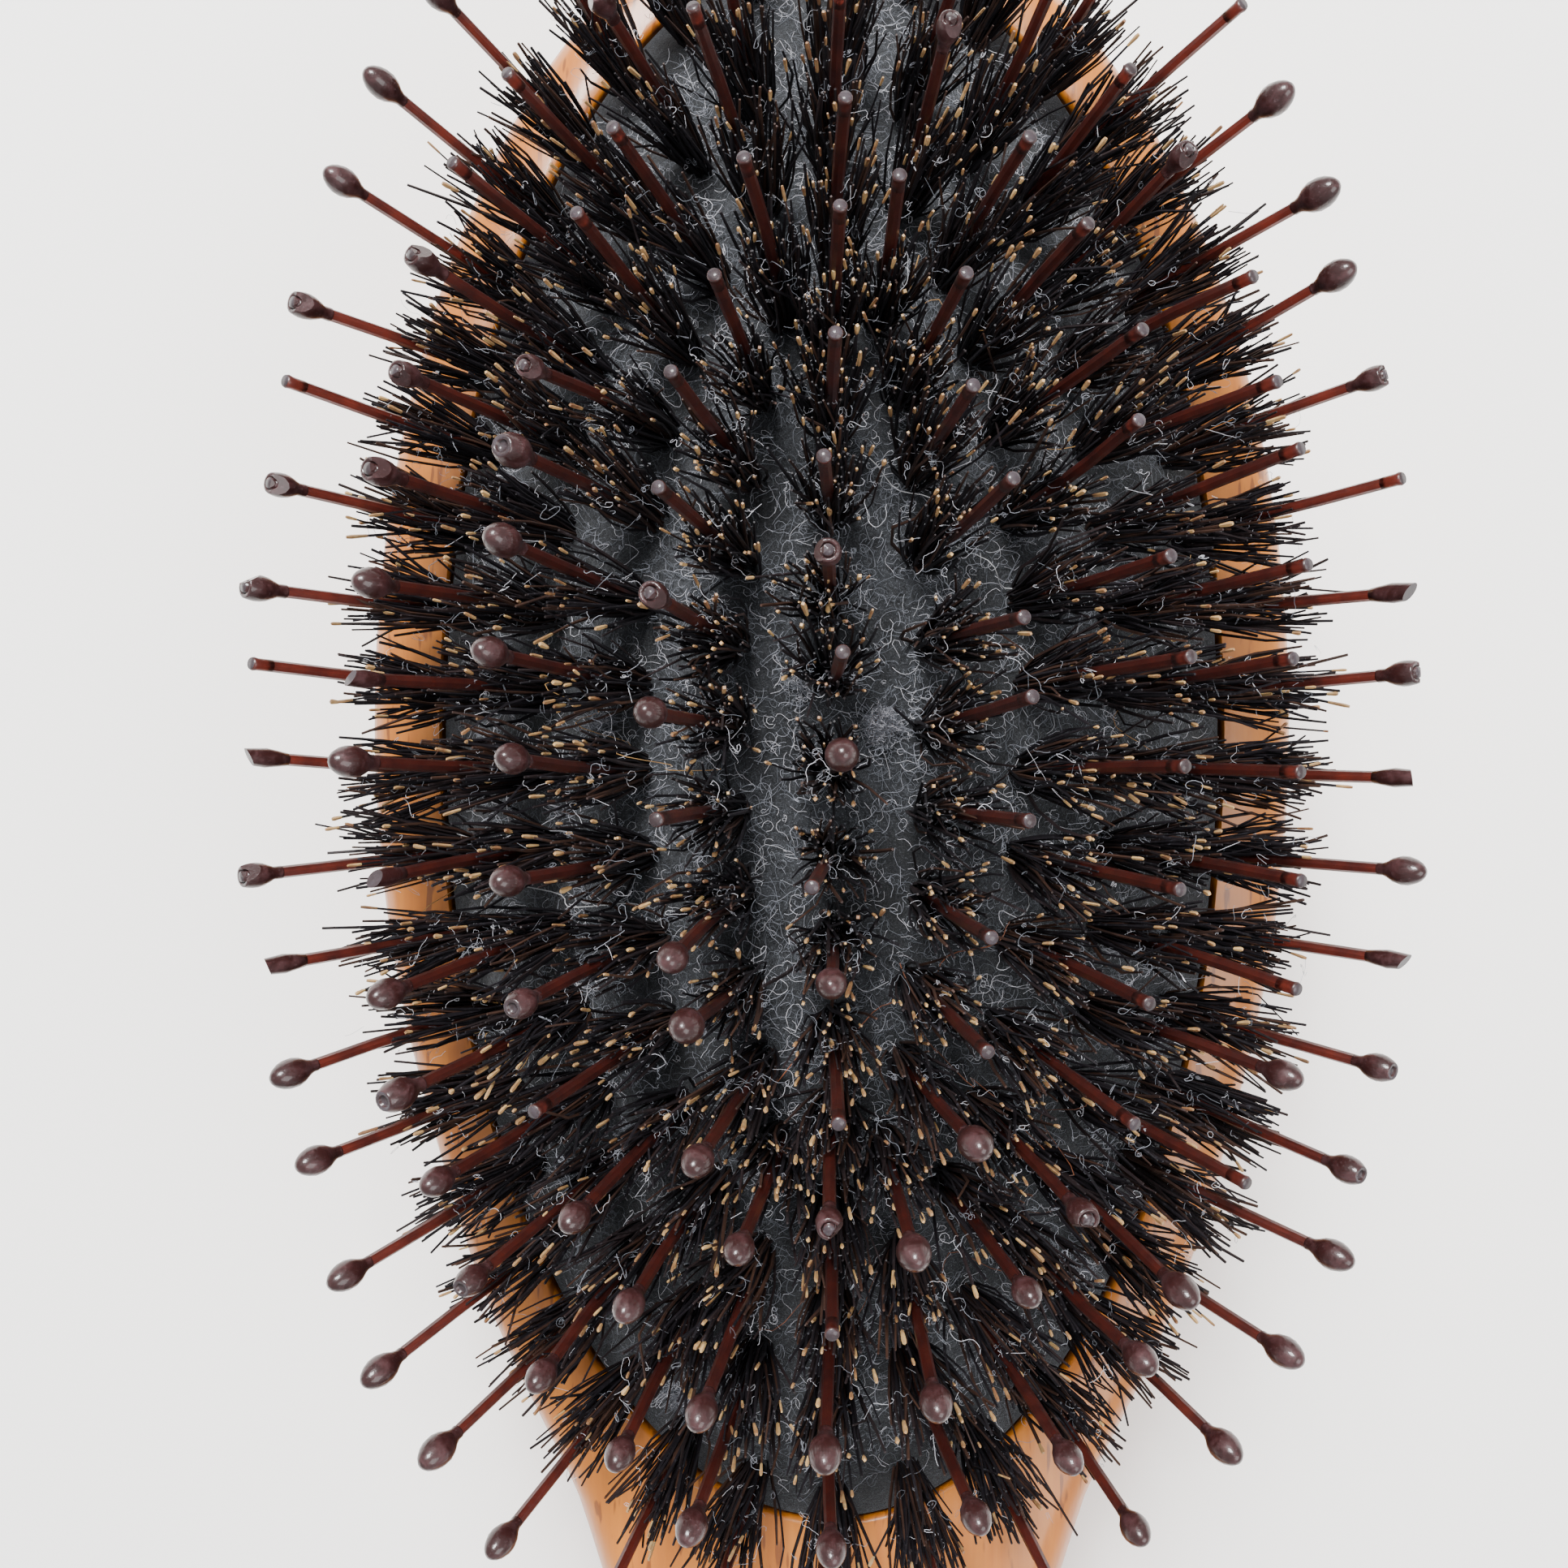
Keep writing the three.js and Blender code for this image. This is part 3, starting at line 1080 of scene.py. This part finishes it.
@dataclass
class Bristles:
    """The tufts of bristles, which fan out from their roots to pale cut ends."""

    finishes: list[bpy.types.Material]
    hairs: int = 78
    root_radius: float = 0.8 * MM
    fan_radius: float = 2.5 * MM
    shortest: float = 4.6 * MM
    longest: float = 9.9 * MM
    usual: float = 9.2 * MM
    buried: float = 0.4 * MM
    thick: float = 0.1 * MM
    sway: float = 0.4 * MM
    bow: float = 0.5 * MM
    bow_points: tuple[float, ...] = (0, 0.34, 0.68, 1)
    taper: tuple[float, ...] = (1, 1, 0.95, 0.75)
    fan_range: tuple[float, float] = (0.75, 1.15)
    thick_range: tuple[float, float] = (0.65, 1.15)
    wild_share: float = 0.2
    wild: float = 2.4
    tuft_lean: float = 0.05
    pale_length: float = 0.7 * MM
    pale_range: tuple[float, float, float] = (0.35, 2.1, 0.8)
    pale_overlap: float = 0.3
    swell_range: tuple[float, float] = (0.95, 1.45)
    tones: int = 3
    tone_power: float = 1.7

    def hair(self, place: Matrix, pale_share: float, chance: random.Random) -> list[Strand]:
        """One bristle and, on some, its pale end.

        Args:
            place: Where its tuft stands.
            pale_share: How many of the bristles have a pale end.
            chance: The source of its differences.

        Returns:
            One or two strands.
        """
        angle = chance.uniform(0, FULL_TURN)
        share = math.sqrt(chance.random())
        outwards = Vector((math.cos(angle), math.sin(angle), 0))
        wild = self.wild if chance.random() < self.wild_share else 1
        sway = Vector((chance.gauss(0, 1), chance.gauss(0, 1), 0)) * self.sway * wild
        bow = Vector((chance.gauss(0, 1), chance.gauss(0, 1), 0)) * self.bow * wild / 2
        length = chance.triangular(self.shortest, self.longest, self.usual)
        start = outwards * self.root_radius * share - Vector((0, 0, self.buried))
        top = outwards * self.fan_radius * share * chance.uniform(*self.fan_range) + sway
        top.z = length
        line = [start.lerp(top, t) + bow * (4 * t * (1 - t)) for t in self.bow_points]
        line = [place @ point for point in line]
        thick = self.thick * chance.uniform(*self.thick_range)
        tone = min(int(chance.random() ** self.tone_power * self.tones), self.tones - 1)
        made = [Strand(line, [thick * part for part in self.taper], tone)]
        if chance.random() < pale_share:
            made.append(self._pale_end(line, thick, chance))
        return made

    def _pale_end(self, line: list[Vector], thick: float, chance: random.Random) -> Strand:
        """The split, slightly thicker end of a bristle.

        Args:
            line: The bristle's line.
            thick: Its half thickness.
            chance: The source of its differences.

        Returns:
            The end, which starts just inside the bristle.
        """
        ahead = (line[-1] - line[-2]).normalized()
        length = self.pale_length * chance.triangular(*self.pale_range)
        base = line[-1] - ahead * length * self.pale_overlap
        tip = line[-1] + ahead * length * (1 - self.pale_overlap)
        swell = thick * chance.uniform(*self.swell_range)
        return Strand([base, base.lerp(tip, 0.75), tip], [thick * 0.9, swell, swell * 0.75], self.tones)

    def build(self, row: Row) -> list[bpy.types.Object]:
        """Makes the banks of one row.

        Args:
            row: The row.

        Returns:
            A piece for each bank.
        """
        pieces = []
        for number, bank in enumerate(row.banks(), 1):
            chance = random.Random(f"{SEED} {row.name} bristles {number}")
            strands = []
            for _, place in bank:
                lean = leaning(chance, self.tuft_lean)
                for _ in range(self.hairs):
                    strands += self.hair(place @ lean, row.pale_share, chance)
            name = f"{row.name}_tufts_{number}"
            piece = shown(name, strand_mesh(name, strands, self.finishes))
            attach(piece, row.name)
            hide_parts(f"{row.name}_bristles_{number}")
            pieces.append(piece)
        return pieces


# ---- Pins ----


class Tip(Enum):
    """What is left of a pin's ball."""

    WHOLE = "w"
    DIMPLED = "d"
    CHIPPED = "c"
    SLEEVE = "s"
    BARE = "b"


# The state of each row's tips, from the handle's side counter-clockwise.
WEAR = {
    "centre_row": "cbwbwbcbbb",
    "inner_ring": "bwwbbbbbbbbbbbbbbcwbwwww",
    "middle_ring": "wwwcbbbbbbbbbbcbbbbcdwwwwdbwww",
    "wide_ring": "wwwwwbwbbbbbbbbcbbbbbcbbcccwswswdwdwww",
    "outer_ring": "wwwwwwwddswscsbcwwwbcbcbbcbwwwcbccbscswwwwwwww",
}


@dataclass
class Pins:
    """Nylon pins with ball tips in every state of wear."""

    stem_finish: bpy.types.Material
    coat: bpy.types.Material
    broken: bpy.types.Material
    length: float = 17 * MM
    stem_radius: float = 0.35 * MM
    ball_radius: float = 0.88 * MM
    ball_length: float = 3.1 * MM
    neck_taper: float = 0.78
    end_taper: float = 0.46
    sleeve_radius: float = 0.5 * MM
    buried: float = 0.6 * MM
    bend: float = 0.45 * MM
    lean: float = 0.03
    overlap: float = 0.2 * MM
    most_lost: float = 0.5 * MM
    bare_extra: float = 1.1 * MM
    size_range: tuple[float, float] = (0.88, 1.04)
    collar: float = 1.1
    widest_power: float = 1.2
    chipped_size: float = 0.84
    steps: int = 16
    templates: dict[Tip, bpy.types.Mesh] = field(default_factory=dict)

    def __post_init__(self) -> None:
        """Makes one mesh for each state of a tip."""
        shapes = {
            Tip.WHOLE: self._ball(),
            Tip.DIMPLED: self._dimpled(),
            Tip.CHIPPED: self._chipped(),
            Tip.SLEEVE: self._sleeve(),
            Tip.BARE: self._bare(),
        }
        for tip, shape in shapes.items():
            mesh = to_mesh(shape, f"tip_{tip.name.lower()}")
            mesh.materials.append(self.stem_finish)
            mesh.materials.append(self.coat)
            mesh.materials.append(self.broken)
            self.templates[tip] = mesh

    def _outline(self, until: float = 1, points: int = 11) -> list[tuple[float, float]]:
        """The ball's outline, narrow at the stem and widest past its middle.

        Args:
            until: The share of the ball's length where the outline stops.
            points: How many points it has.

        Returns:
            Points of radius and height.
        """
        made = []
        for i in range(points):
            share = until * eased(i / (points - 1))
            bluntness = self.neck_taper + (self.end_taper - self.neck_taper) * share
            swell = max(0, math.sin(math.pi * share**self.widest_power))
            radius = self.ball_radius * swell**bluntness
            if share < 0.5:
                radius = max(radius, self.stem_radius * self.collar)
            made.append((radius, self.ball_length * share))
        return made

    def _coated(self, shape: bmesh.types.BMesh, finish: int = 1) -> bmesh.types.BMesh:
        """Gives every face of a tip one finish.

        Args:
            shape: The tip.
            finish: The finish's number.

        Returns:
            The same shape.
        """
        for face in shape.faces:
            face.material_index = finish
            face.smooth = True
        return shape

    def _ball(self) -> bmesh.types.BMesh:
        """A whole ball."""
        outline = [(0, 0), *self._outline()[:-1], (0, self.ball_length)]
        return self._coated(turned(outline, self.steps))

    def _dimpled(self) -> bmesh.types.BMesh:
        """A ball worn flat at its end, with the stem's end in a pit.

        Returns:
            The new shape.
        """
        cut = self._outline(0.9)
        rim, top = cut[-1]
        pit = [(rim * 0.62, top - 0.02 * MM), (self.stem_radius, top - 0.22 * MM), (0, top - 0.16 * MM)]
        shape = self._coated(turned([(0, 0), *cut, *pit], self.steps))
        for face in shape.faces:
            if face.calc_center_median().z > top - 0.2 * MM and face.normal.z > FLAT:
                face.material_index = 2
        return shape

    def _cut(
        self, shape: bmesh.types.BMesh, point: Vector, facing: Vector, finish: int = 2
    ) -> None:
        """Breaks off what lies beyond a plane and closes the break.

        Args:
            shape: The tip.
            point: A point on the plane.
            facing: The plane's outward direction.
            finish: The number of the break's finish.
        """
        everything = shape.verts[:] + shape.edges[:] + shape.faces[:]
        cut = bmesh.ops.bisect_plane(
            shape, geom=everything, plane_co=point, plane_no=facing, clear_outer=True
        )
        rim = [item for item in cut["geom_cut"] if isinstance(item, bmesh.types.BMEdge)]
        for face in bmesh.ops.holes_fill(shape, edges=rim, sides=0)["faces"]:
            face.material_index = finish
            face.smooth = False

    def _chipped(self) -> bmesh.types.BMesh:
        """A small broken ball, from which the stem's end stands out.

        Returns:
            The new shape.
        """
        stem = self.stem_radius
        size, thinnest = self.chipped_size, stem * self.collar
        kept = [(max(radius * size, thinnest), height) for radius, height in self._outline(0.78)]
        rim, top = kept[-1]
        crater = [(rim * 0.7, top + 0.02 * MM), (stem * 1.2, top - 0.25 * MM)]
        stub = [(stem * 0.9, top - 0.28 * MM), (stem * 0.9, top + 0.1 * MM), (0, top + 0.13 * MM)]
        shape = self._coated(turned([(0, 0), *kept, *crater, *stub], self.steps))
        for face in shape.faces:
            if face.calc_center_median().xy.length < stem and face.normal.z > FLAT:
                face.material_index = 2
        self._cut(shape, Vector((-self.ball_radius * 0.72, 0, top * 0.75)), Vector((-1, 0.35, 0.6)), 1)
        return shape

    def _sleeve(self) -> bmesh.types.BMesh:
        """The thin remains of a ball, broken at the end.

        Returns:
            The new shape.
        """
        wide, long, stem = self.sleeve_radius, self.ball_length, self.stem_radius
        outline = [
            (0, 0), (stem * self.collar, 0), (wide * 0.95, long * 0.2), (wide * 1.15, long * 0.45),
            (wide, long * 0.75), (wide * 0.9, long * 0.95), (stem, long * 0.93), (0, long * 0.8),
        ]
        shape = self._coated(turned(outline, self.steps))
        self._cut(shape, Vector((0, 0, long * 0.8)), Vector((-0.7, 0.3, 1)))
        return shape

    def _bare(self) -> bmesh.types.BMesh:
        """A bare stem, cut flat, with a slight burr.

        Returns:
            The new shape.
        """
        stem = self.stem_radius
        outline = [(0, 0), (stem, 0), (stem, 0.9 * MM), (stem * 1.12, 1.15 * MM), (stem * 0.95, 1.3 * MM)]
        shape = self._coated(turned([*outline, (0, 1.27 * MM)], self.steps), 0)
        for face in shape.faces:
            if face.normal.z > FLAT:
                face.material_index = 2
        return shape

    def build(self, row: Row) -> list[bpy.types.Object]:
        """Makes the banks of one row.

        Args:
            row: The row.

        Returns:
            A piece for each bank.
        """
        pieces = []
        for number, bank in enumerate(row.banks(), 1):
            chance = random.Random(f"{SEED} {row.name} pins {number}")
            name = f"{row.name}_ball_pins_{number}"
            shape = bmesh.new()
            stems = []
            for index, place in bank:
                tip = Tip(WEAR[row.name][index % len(WEAR[row.name])])
                stem, end = self._stem(place, tip, chance)
                stems.append(stem)
                copy = self.templates[tip].copy()
                copy.transform(end)
                shape.from_mesh(copy)
                bpy.data.meshes.remove(copy)
            finishes = [self.stem_finish, self.coat, self.broken]
            stem_mesh = strand_mesh(f"{name}_stems", stems, finishes, 8)
            shape.from_mesh(stem_mesh)
            bpy.data.meshes.remove(stem_mesh)
            mesh = to_mesh(shape, name)
            for finish in finishes:
                mesh.materials.append(finish)
            piece = shown(name, mesh)
            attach(piece, row.name)
            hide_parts(f"{row.name}_pins_{number}")
            pieces.append(piece)
        return pieces

    def _stem(self, place: Matrix, tip: Tip, chance: random.Random) -> tuple[Strand, Matrix]:
        """One bent stem and the place of its tip.

        Args:
            place: Where its tuft stands.
            tip: The state of its tip.
            chance: The source of its differences.

        Returns:
            The stem and the tip's place.
        """
        lost = 0 if tip in (Tip.WHOLE, Tip.DIMPLED) else chance.uniform(0, self.most_lost)
        neck = self.length - self.ball_length - lost
        if tip is Tip.BARE:
            neck += self.bare_extra
        side = Vector((chance.gauss(0, 1), chance.gauss(0, 1), 0)) * self.bend
        place = place @ leaning(chance, self.lean)
        heights = [-self.buried, 0, neck * 0.35, neck * 0.7, neck + self.overlap]
        line = [place @ (side * (h / self.length) ** 2 + Vector((0, 0, h))) for h in heights]
        ahead = (line[-1] - line[-2]).normalized()
        turn = ahead.to_track_quat("Z", "Y").to_matrix().to_4x4()
        spin = Matrix.Rotation(chance.uniform(0, FULL_TURN), 4, "Z")
        size = Matrix.Scale(1 if tip is Tip.BARE else chance.uniform(*self.size_range), 4)
        end = Matrix.Translation(line[-1] - ahead * self.overlap) @ turn @ spin @ size
        return Strand(line, [self.stem_radius] * len(line)), end


# ---- Lint ----


@dataclass(frozen=True)
class FibreKind:
    """One kind of fibre: how many there are, and the least and most of what varies."""

    count: int
    steps: tuple[int, int]
    step: tuple[float, float]
    curl: float
    lift: tuple[float, float]
    thick: tuple[float, float]
    kept_turn: float = 0.75

    def line(self, chance: random.Random) -> list[tuple[float, float]]:
        """A wandering, curling line on a plane.

        Args:
            chance: The source of its differences.

        Returns:
            Its points, from the origin.
        """
        step = chance.uniform(*self.step)
        heading, turn = chance.uniform(0, FULL_TURN), chance.gauss(0, self.curl)
        x = y = 0.0
        made = [(x, y)]
        for _ in range(chance.randint(*self.steps)):
            turn = self.kept_turn * turn + chance.gauss(0, self.curl * self.kept_turn)
            heading += turn
            x += step * math.cos(heading)
            y += step * math.sin(heading)
            made.append((x, y))
        return made


@dataclass
class Lint:
    """Curled textile fibres, matted on the rubber and caught in the tufts, and shed hairs."""

    dome: Dome
    finishes: list[bpy.types.Material]
    shed_finishes: list[bpy.types.Material]
    mats: int = 4
    mat: FibreKind = FibreKind(
        3100, (6, 6), (0.14 * MM, 0.32 * MM), 0.6, (0.1 * MM, 0.6 * MM), (0.008 * MM, 0.014 * MM)
    )
    loose: FibreKind = FibreKind(
        300, (12, 30), (0.18 * MM, 0.32 * MM), 0.5, (0.4 * MM, 2.2 * MM), (0.011 * MM, 0.018 * MM)
    )
    caught: FibreKind = FibreKind(
        30, (7, 16), (0.12 * MM, 0.26 * MM), 0.75, (0.8 * MM, 9.5 * MM), (0.008 * MM, 0.015 * MM)
    )
    fluff: FibreKind = FibreKind(
        70, (8, 14), (0.08 * MM, 0.16 * MM), 0.8, (0.3 * MM, 1.5 * MM), (0.008 * MM, 0.014 * MM)
    )
    shed: FibreKind = FibreKind(
        13, (24, 44), (0.35 * MM, 0.6 * MM), 0.07, (1.5 * MM, 4.5 * MM), (0.02 * MM, 0.032 * MM)
    )
    fluff_spots: int = 9
    vent_share: int = 5
    fluff_spread: float = 0.45 * MM
    caught_spread: float = 2.3 * MM
    caught_tilt: float = 1.2
    off_skin: float = 0.12 * MM
    wave: tuple[float, float, float] = (0.55, 0.45, 0.8)
    edge: float = 0.95
    furthest: float = 0.97
    finish_power: float = 1.6

    def _spot(self, chance: random.Random) -> tuple[float, float]:
        """A place on the dome.

        Args:
            chance: The source of the place.

        Returns:
            The place from the dome's middle.
        """
        angle, share = chance.uniform(0, FULL_TURN), math.sqrt(chance.random()) * self.edge
        wide, long = self.dome.half_width * share, self.dome.half_length * share
        return wide * math.cos(angle), long * math.sin(angle)

    def _on_skin(
        self, chance: random.Random, kind: FibreKind, finishes: int, at: tuple[float, float]
    ) -> Strand:
        """A fibre that lies on the rubber.

        Args:
            chance: The source of its differences.
            kind: Its kind.
            finishes: How many finishes there are for it.
            at: Where it starts, from the dome's middle.

        Returns:
            The fibre.
        """
        x, y = at
        lift, start = chance.uniform(*kind.lift), chance.uniform(0, FULL_TURN)
        mean, swing, pace = self.wave
        line = []
        for i, (dx, dy) in enumerate(kind.line(chance)):
            above = lift * (mean + swing * math.sin(start + i * pace)) + self.off_skin
            inside = math.hypot((x + dx) / self.dome.half_width, (y + dy) / self.dome.half_length)
            keep = min(1, self.furthest / max(inside, self.edge))
            line.append(self.dome.point((x + dx) * keep, (y + dy) * keep, above))
        finish = min(int(chance.random() ** self.finish_power * finishes), finishes - 1)
        return Strand(line, [chance.uniform(*kind.thick)] * len(line), finish)

    def build_mats(self) -> list[bpy.types.Object]:
        """Makes the matted fibres, the loose threads, the fluff and the shed hairs on the rubber.

        Returns:
            The finished pieces.
        """
        chance = random.Random(f"{SEED} mats")
        spots = [self._spot(chance) for _ in range(self.fluff_spots)]
        spots += [VENT] * self.vent_share
        fluff = [
            (x + chance.gauss(0, self.fluff_spread), y + chance.gauss(0, self.fluff_spread))
            for x, y in spots
            for _ in range(self.fluff.count)
        ]
        bundles = {f"lint_mat_{number}": self.mat for number in range(1, self.mats + 1)}
        bundles |= {"lint_threads": self.loose, "lint_fluff": self.fluff, "shed_hairs": self.shed}
        pieces = []
        for name, kind in bundles.items():
            places = [self._spot(chance) for _ in range(kind.count)]
            places = fluff if kind is self.fluff else places
            finishes = self.shed_finishes if kind is self.shed else self.finishes
            strands = [self._on_skin(chance, kind, len(finishes), at) for at in places]
            piece = shown(name, strand_mesh(name, strands, finishes))
            sinks_with_cushion(piece, self.dome)
            pieces.append(piece)
        return pieces

    def build_caught(self, row: Row) -> bpy.types.Object:
        """Makes the curls that are caught in one row's tufts.

        Args:
            row: The row.

        Returns:
            The finished piece.
        """
        chance = random.Random(f"{SEED} {row.name} lint")
        strands = []
        for place in row.places():
            for _ in range(self.caught.count):
                angle, spread = chance.uniform(0, FULL_TURN), chance.uniform(0, self.caught_spread)
                height = chance.triangular(*self.caught.lift)
                start = Vector((spread * math.cos(angle), spread * math.sin(angle), height))
                pose = place @ Matrix.Translation(start)
                pose @= Matrix.Rotation(chance.uniform(-1, 1) * self.caught_tilt, 4, "X")
                pose @= Matrix.Rotation(chance.uniform(-1, 1) * self.caught_tilt, 4, "Y")
                line = [pose @ Vector((x, y, 0)) for x, y in self.caught.line(chance)]
                thick = chance.uniform(*self.caught.thick)
                finish = chance.randrange(len(self.finishes))
                strands.append(Strand(line, [thick] * len(line), finish))
        name = f"{row.name}_lint"
        piece = shown(name, strand_mesh(name, strands, self.finishes))
        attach(piece, row.name)
        return piece


# ---- Studio ----


@dataclass(frozen=True)
class Lamp:
    """A soft square light: its place from the head's middle, its side and its power in watts."""

    name: str
    offset: tuple[float, float, float]
    size: float
    power: float


@dataclass
class Studio:
    """The pale table, the soft light and the camera straight above the head."""

    middle: Vector
    camera_height: float = 125 * MM
    camera_back: float = 4.2 * MM
    lens: float = 39.6
    shift: float = -0.0305
    table_size: float = 3.0
    table_colour: Colour = (0.93, 0.91, 0.88)
    sky_colour: Colour = (0.93, 0.96, 1.0)
    sky_strength: float = 1.0
    lights: tuple[Lamp, ...] = (
        Lamp("key", (-0.08, 0.3, 0.5), 0.2, 10),
        Lamp("fill", (0.4, -0.25, 0.6), 0.5, 5),
    )

    def build(self) -> None:
        """Makes the table, the lights and the camera."""
        shape = bmesh.new()
        bmesh.ops.create_grid(shape, x_segments=4, y_segments=4, size=self.table_size / 2)
        table = shown("table", to_mesh(shape, "table"))
        surface = Surface("pale_table", Specular_IOR_Level=0.2)
        table.data.materials.append(surface.finish(self.table_colour, 0.6))
        world = bpy.data.worlds.new("studio")
        bpy.context.scene.world = world
        world.use_nodes = True
        sky = world.node_tree.nodes["Background"]
        sky.inputs["Color"].default_value = (*self.sky_colour, 1)
        sky.inputs["Strength"].default_value = self.sky_strength
        for lamp in self.lights:
            self._light(lamp)
        self._camera()

    def _light(self, lamp: Lamp) -> None:
        """Makes one light that faces the head.

        Args:
            lamp: The light's sizes.
        """
        offset = Vector(lamp.offset)
        data = bpy.data.lights.new(lamp.name, "AREA")
        data.size = lamp.size
        data.energy = lamp.power
        light = bpy.data.objects.new(lamp.name, data)
        light.location = self.middle + offset
        light.rotation_euler = (-offset).to_track_quat("-Z", "Y").to_euler()
        bpy.context.scene.collection.objects.link(light)

    def _camera(self) -> None:
        """Makes the camera, which looks straight down with the far end of the head up."""
        data = bpy.data.cameras.new("camera")
        data.lens = self.lens
        data.shift_x = self.shift
        data.clip_start = 5 * MM
        camera = bpy.data.objects.new("camera", data)
        camera.location = self.middle + Vector((0, -self.camera_back, self.camera_height))
        bpy.context.scene.collection.objects.link(camera)
        bpy.context.scene.camera = camera


def report(piece: bpy.types.Object) -> None:
    """Logs a finished piece's name and size."""
    log.info("%s: %d faces", piece.name, len(piece.data.polygons))


def main() -> None:
    """Builds the brush around the frame, and the studio round it."""
    logging.basicConfig(level=logging.INFO, format="%(message)s")
    dome = Dome.from_frame()
    rows = RowSet(dome).rows
    body = WoodBody()
    Studio(Vector((0, body.middle, 0))).build()
    report(body.build(dome))
    tufts = [place for row in rows for place in row.places()]
    report(RubberCushion(dome).build(tufts))

    hair = [
        Bristle("bristle_black", (0.0042, 0.0034, 0.0048), (0.0095, 0.0072, 0.0095)),
        Bristle("bristle_brown_black", (0.0075, 0.0048, 0.0055), (0.017, 0.01, 0.0105)),
        Bristle("bristle_brown", (0.017, 0.0085, 0.0068), (0.046, 0.021, 0.013)),
    ]
    bristles = Bristles([finish.make() for finish in hair] + [CutEnd().make()])
    coat = BallCoat("ball_coat", (0.021, 0.0066, 0.0063), (0.058, 0.0235, 0.025), 0.25, 0.46)
    broken = BallCoat("broken_nylon", (0.022, 0.0125, 0.0135), (0.045, 0.035, 0.042), 0.45, 0.4)
    pins = Pins(Nylon().make(), coat.make(), broken.make())
    fibres = [
        LintFibre("lint_grey", (0.14, 0.15, 0.175), (0.075, 0.082, 0.096)),
        LintFibre("lint_pale", (0.28, 0.29, 0.33), (0.18, 0.185, 0.215)),
        LintFibre("lint_white", (0.58, 0.58, 0.62), (0.42, 0.41, 0.45)),
    ]
    shed = [
        LintFibre("hair_blond", (0.36, 0.2, 0.065), (0.24, 0.12, 0.035)),
        LintFibre("hair_auburn", (0.2, 0.055, 0.016), (0.11, 0.032, 0.011)),
        LintFibre("hair_white", (0.5, 0.5, 0.52), (0.4, 0.4, 0.4)),
    ]
    lint = Lint(dome, [fibre.make() for fibre in fibres], [fibre.make() for fibre in shed])
    for row in rows:
        for piece in bristles.build(row) + pins.build(row):
            report(piece)
        report(lint.build_caught(row))
    for piece in lint.build_mats():
        report(piece)


if __name__ == "__main__":
    main()
